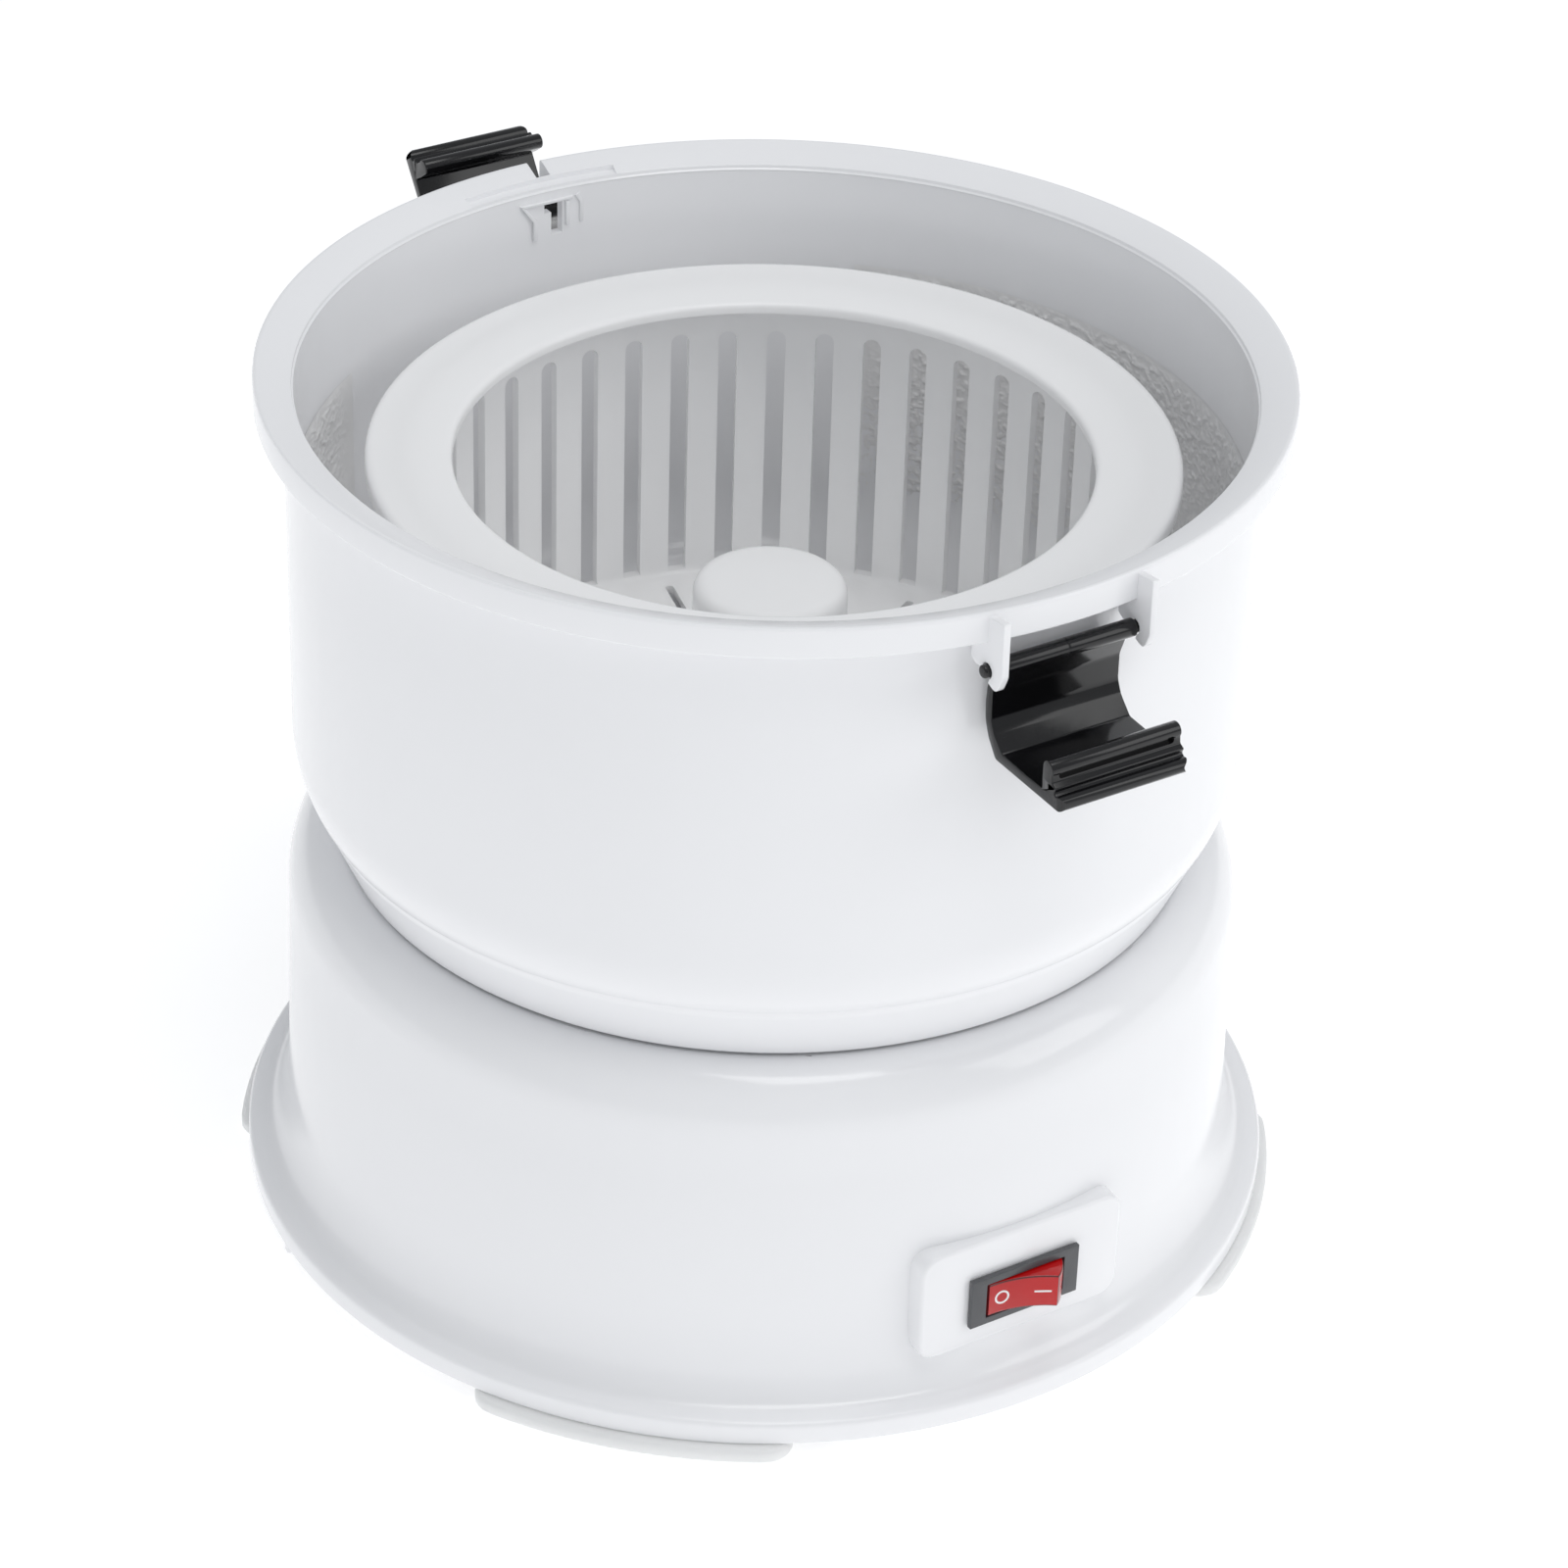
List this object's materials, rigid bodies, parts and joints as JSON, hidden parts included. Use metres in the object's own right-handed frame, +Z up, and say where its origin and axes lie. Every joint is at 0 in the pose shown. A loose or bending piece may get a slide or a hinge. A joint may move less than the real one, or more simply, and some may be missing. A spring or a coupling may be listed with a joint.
{
  "type": "salad spinner",
  "caption": "Electric salad spinner without its lid: motor base with rocker switch, lift-off bowl with lid latches and a slotted spinning basket.",
  "frame": {"origin": "centre of the flat underside of the base plate, on the spin axis; the feet stand 4.25 mm below it", "axes": "+Z up along the spin axis, -Y towards the switch and the front latch, +X to the right of a person facing the switch"},
  "size_m": [0.2656, 0.3081, 0.2288],
  "materials": {
    "white_shell": "glossy white moulded plastic",
    "white_basket": "glossy white moulded plastic, slightly greyer",
    "black_gloss_plastic": "glossy black moulded plastic",
    "charcoal_plastic": "satin charcoal plastic with black ends",
    "red_clear_plastic": "clear red plastic over a lamp",
    "silicone_foot": "greyish translucent silicone",
    "black_rubber": "plain black rubber",
    "nylon": "natural nylon",
    "steel": "ground steel",
    "zinc_plate": "zinc-plated sheet steel",
    "bronze": "sintered bronze",
    "magnet": "ferrite",
    "copper": "laminated core with copper windings"
  },
  "bodies": {
    "base": {"base_housing": "white_shell", "base_plate": "white_shell", "foot_1": "silicone_foot", "foot_2": "silicone_foot", "foot_3": "silicone_foot", "foot_4": "silicone_foot", "base_screw_1": "zinc_plate", "base_screw_2": "zinc_plate", "base_screw_3": "zinc_plate", "base_screw_4": "zinc_plate", "cord_gland": "black_rubber", "switch_housing": "charcoal_plastic", "bearing_tower": "nylon", "tower_screw_1": "zinc_plate", "tower_screw_2": "zinc_plate", "tower_screw_3": "zinc_plate", "upper_bearing": "steel", "lower_bearing": "steel", "bearing_spacer": "steel", "motor_bracket": "zinc_plate", "bracket_screw_1": "zinc_plate", "bracket_screw_2": "zinc_plate", "bracket_screw_3": "zinc_plate", "motor_can": "zinc_plate", "motor_end_cap": "nylon", "motor_upper_bush": "bronze", "motor_lower_bush": "bronze", "motor_magnet_left": "magnet", "motor_magnet_right": "magnet", "drive_belt": "black_rubber"},
    "rocker": {"switch_rocker": "red_clear_plastic"},
    "output": {"output_shaft": "steel", "drive_dog": "black_gloss_plastic", "driven_pulley": "nylon", "retaining_ring": "steel"},
    "motor_rotor": {"motor_armature": "copper", "motor_pulley": "nylon"},
    "bowl": {"bowl": "white_shell", "lower_spindle_bush": "bronze", "upper_spindle_bush": "bronze", "shaft_seal": "black_rubber"},
    "spindle": {"spindle": "steel", "spindle_washer": "steel", "driven_dog": "black_gloss_plastic", "basket_driver": "nylon"},
    "basket": {"basket": "white_basket", "basket_ring": "white_basket"},
    "front_latch": {"front_latch": "black_gloss_plastic"},
    "rear_latch": {"rear_latch": "black_gloss_plastic"}
  },
  "joints": [
    {"name": "switch_tilt", "type": "hinge", "parent": "base", "child": "rocker", "pos_m": [0, -0.1205, 0.0293], "axis": [0, 0, 1], "range_deg": [0, 34]},
    {"name": "output_spin", "type": "hinge", "parent": "base", "child": "output", "pos_m": [0, 0, 0.05], "axis": [0, 0, 1], "continuous": true},
    {"name": "motor_spin", "type": "hinge", "parent": "base", "child": "motor_rotor", "pos_m": [0, 0.07, 0.05], "axis": [0, 0, 1], "continuous": true},
    {"name": "bowl_lift", "type": "slide", "parent": "base", "child": "bowl", "axis": [0, 0, 1], "range_m": [0, 0.04]},
    {"name": "spindle_spin", "type": "hinge", "parent": "bowl", "child": "spindle", "pos_m": [0, 0, 0.12], "axis": [0, 0, 1], "continuous": true},
    {"name": "basket_lift", "type": "slide", "parent": "spindle", "child": "basket", "axis": [0, 0, 1], "range_m": [0, 0.12]},
    {"name": "front_latch_swing", "type": "hinge", "parent": "bowl", "child": "front_latch", "pos_m": [0, -0.1236, 0.2096], "axis": [-1, 0, 0], "range_deg": [0, 180]},
    {"name": "rear_latch_swing", "type": "hinge", "parent": "bowl", "child": "rear_latch", "pos_m": [0, 0.1236, 0.2096], "axis": [1, 0, 0], "range_deg": [-54, 126]}
  ],
  "couplings": [
    {"joint": "motor_spin", "follows": "output_spin", "ratio": 6},
    {"joint": "spindle_spin", "follows": "output_spin", "ratio": 1}
  ]
}
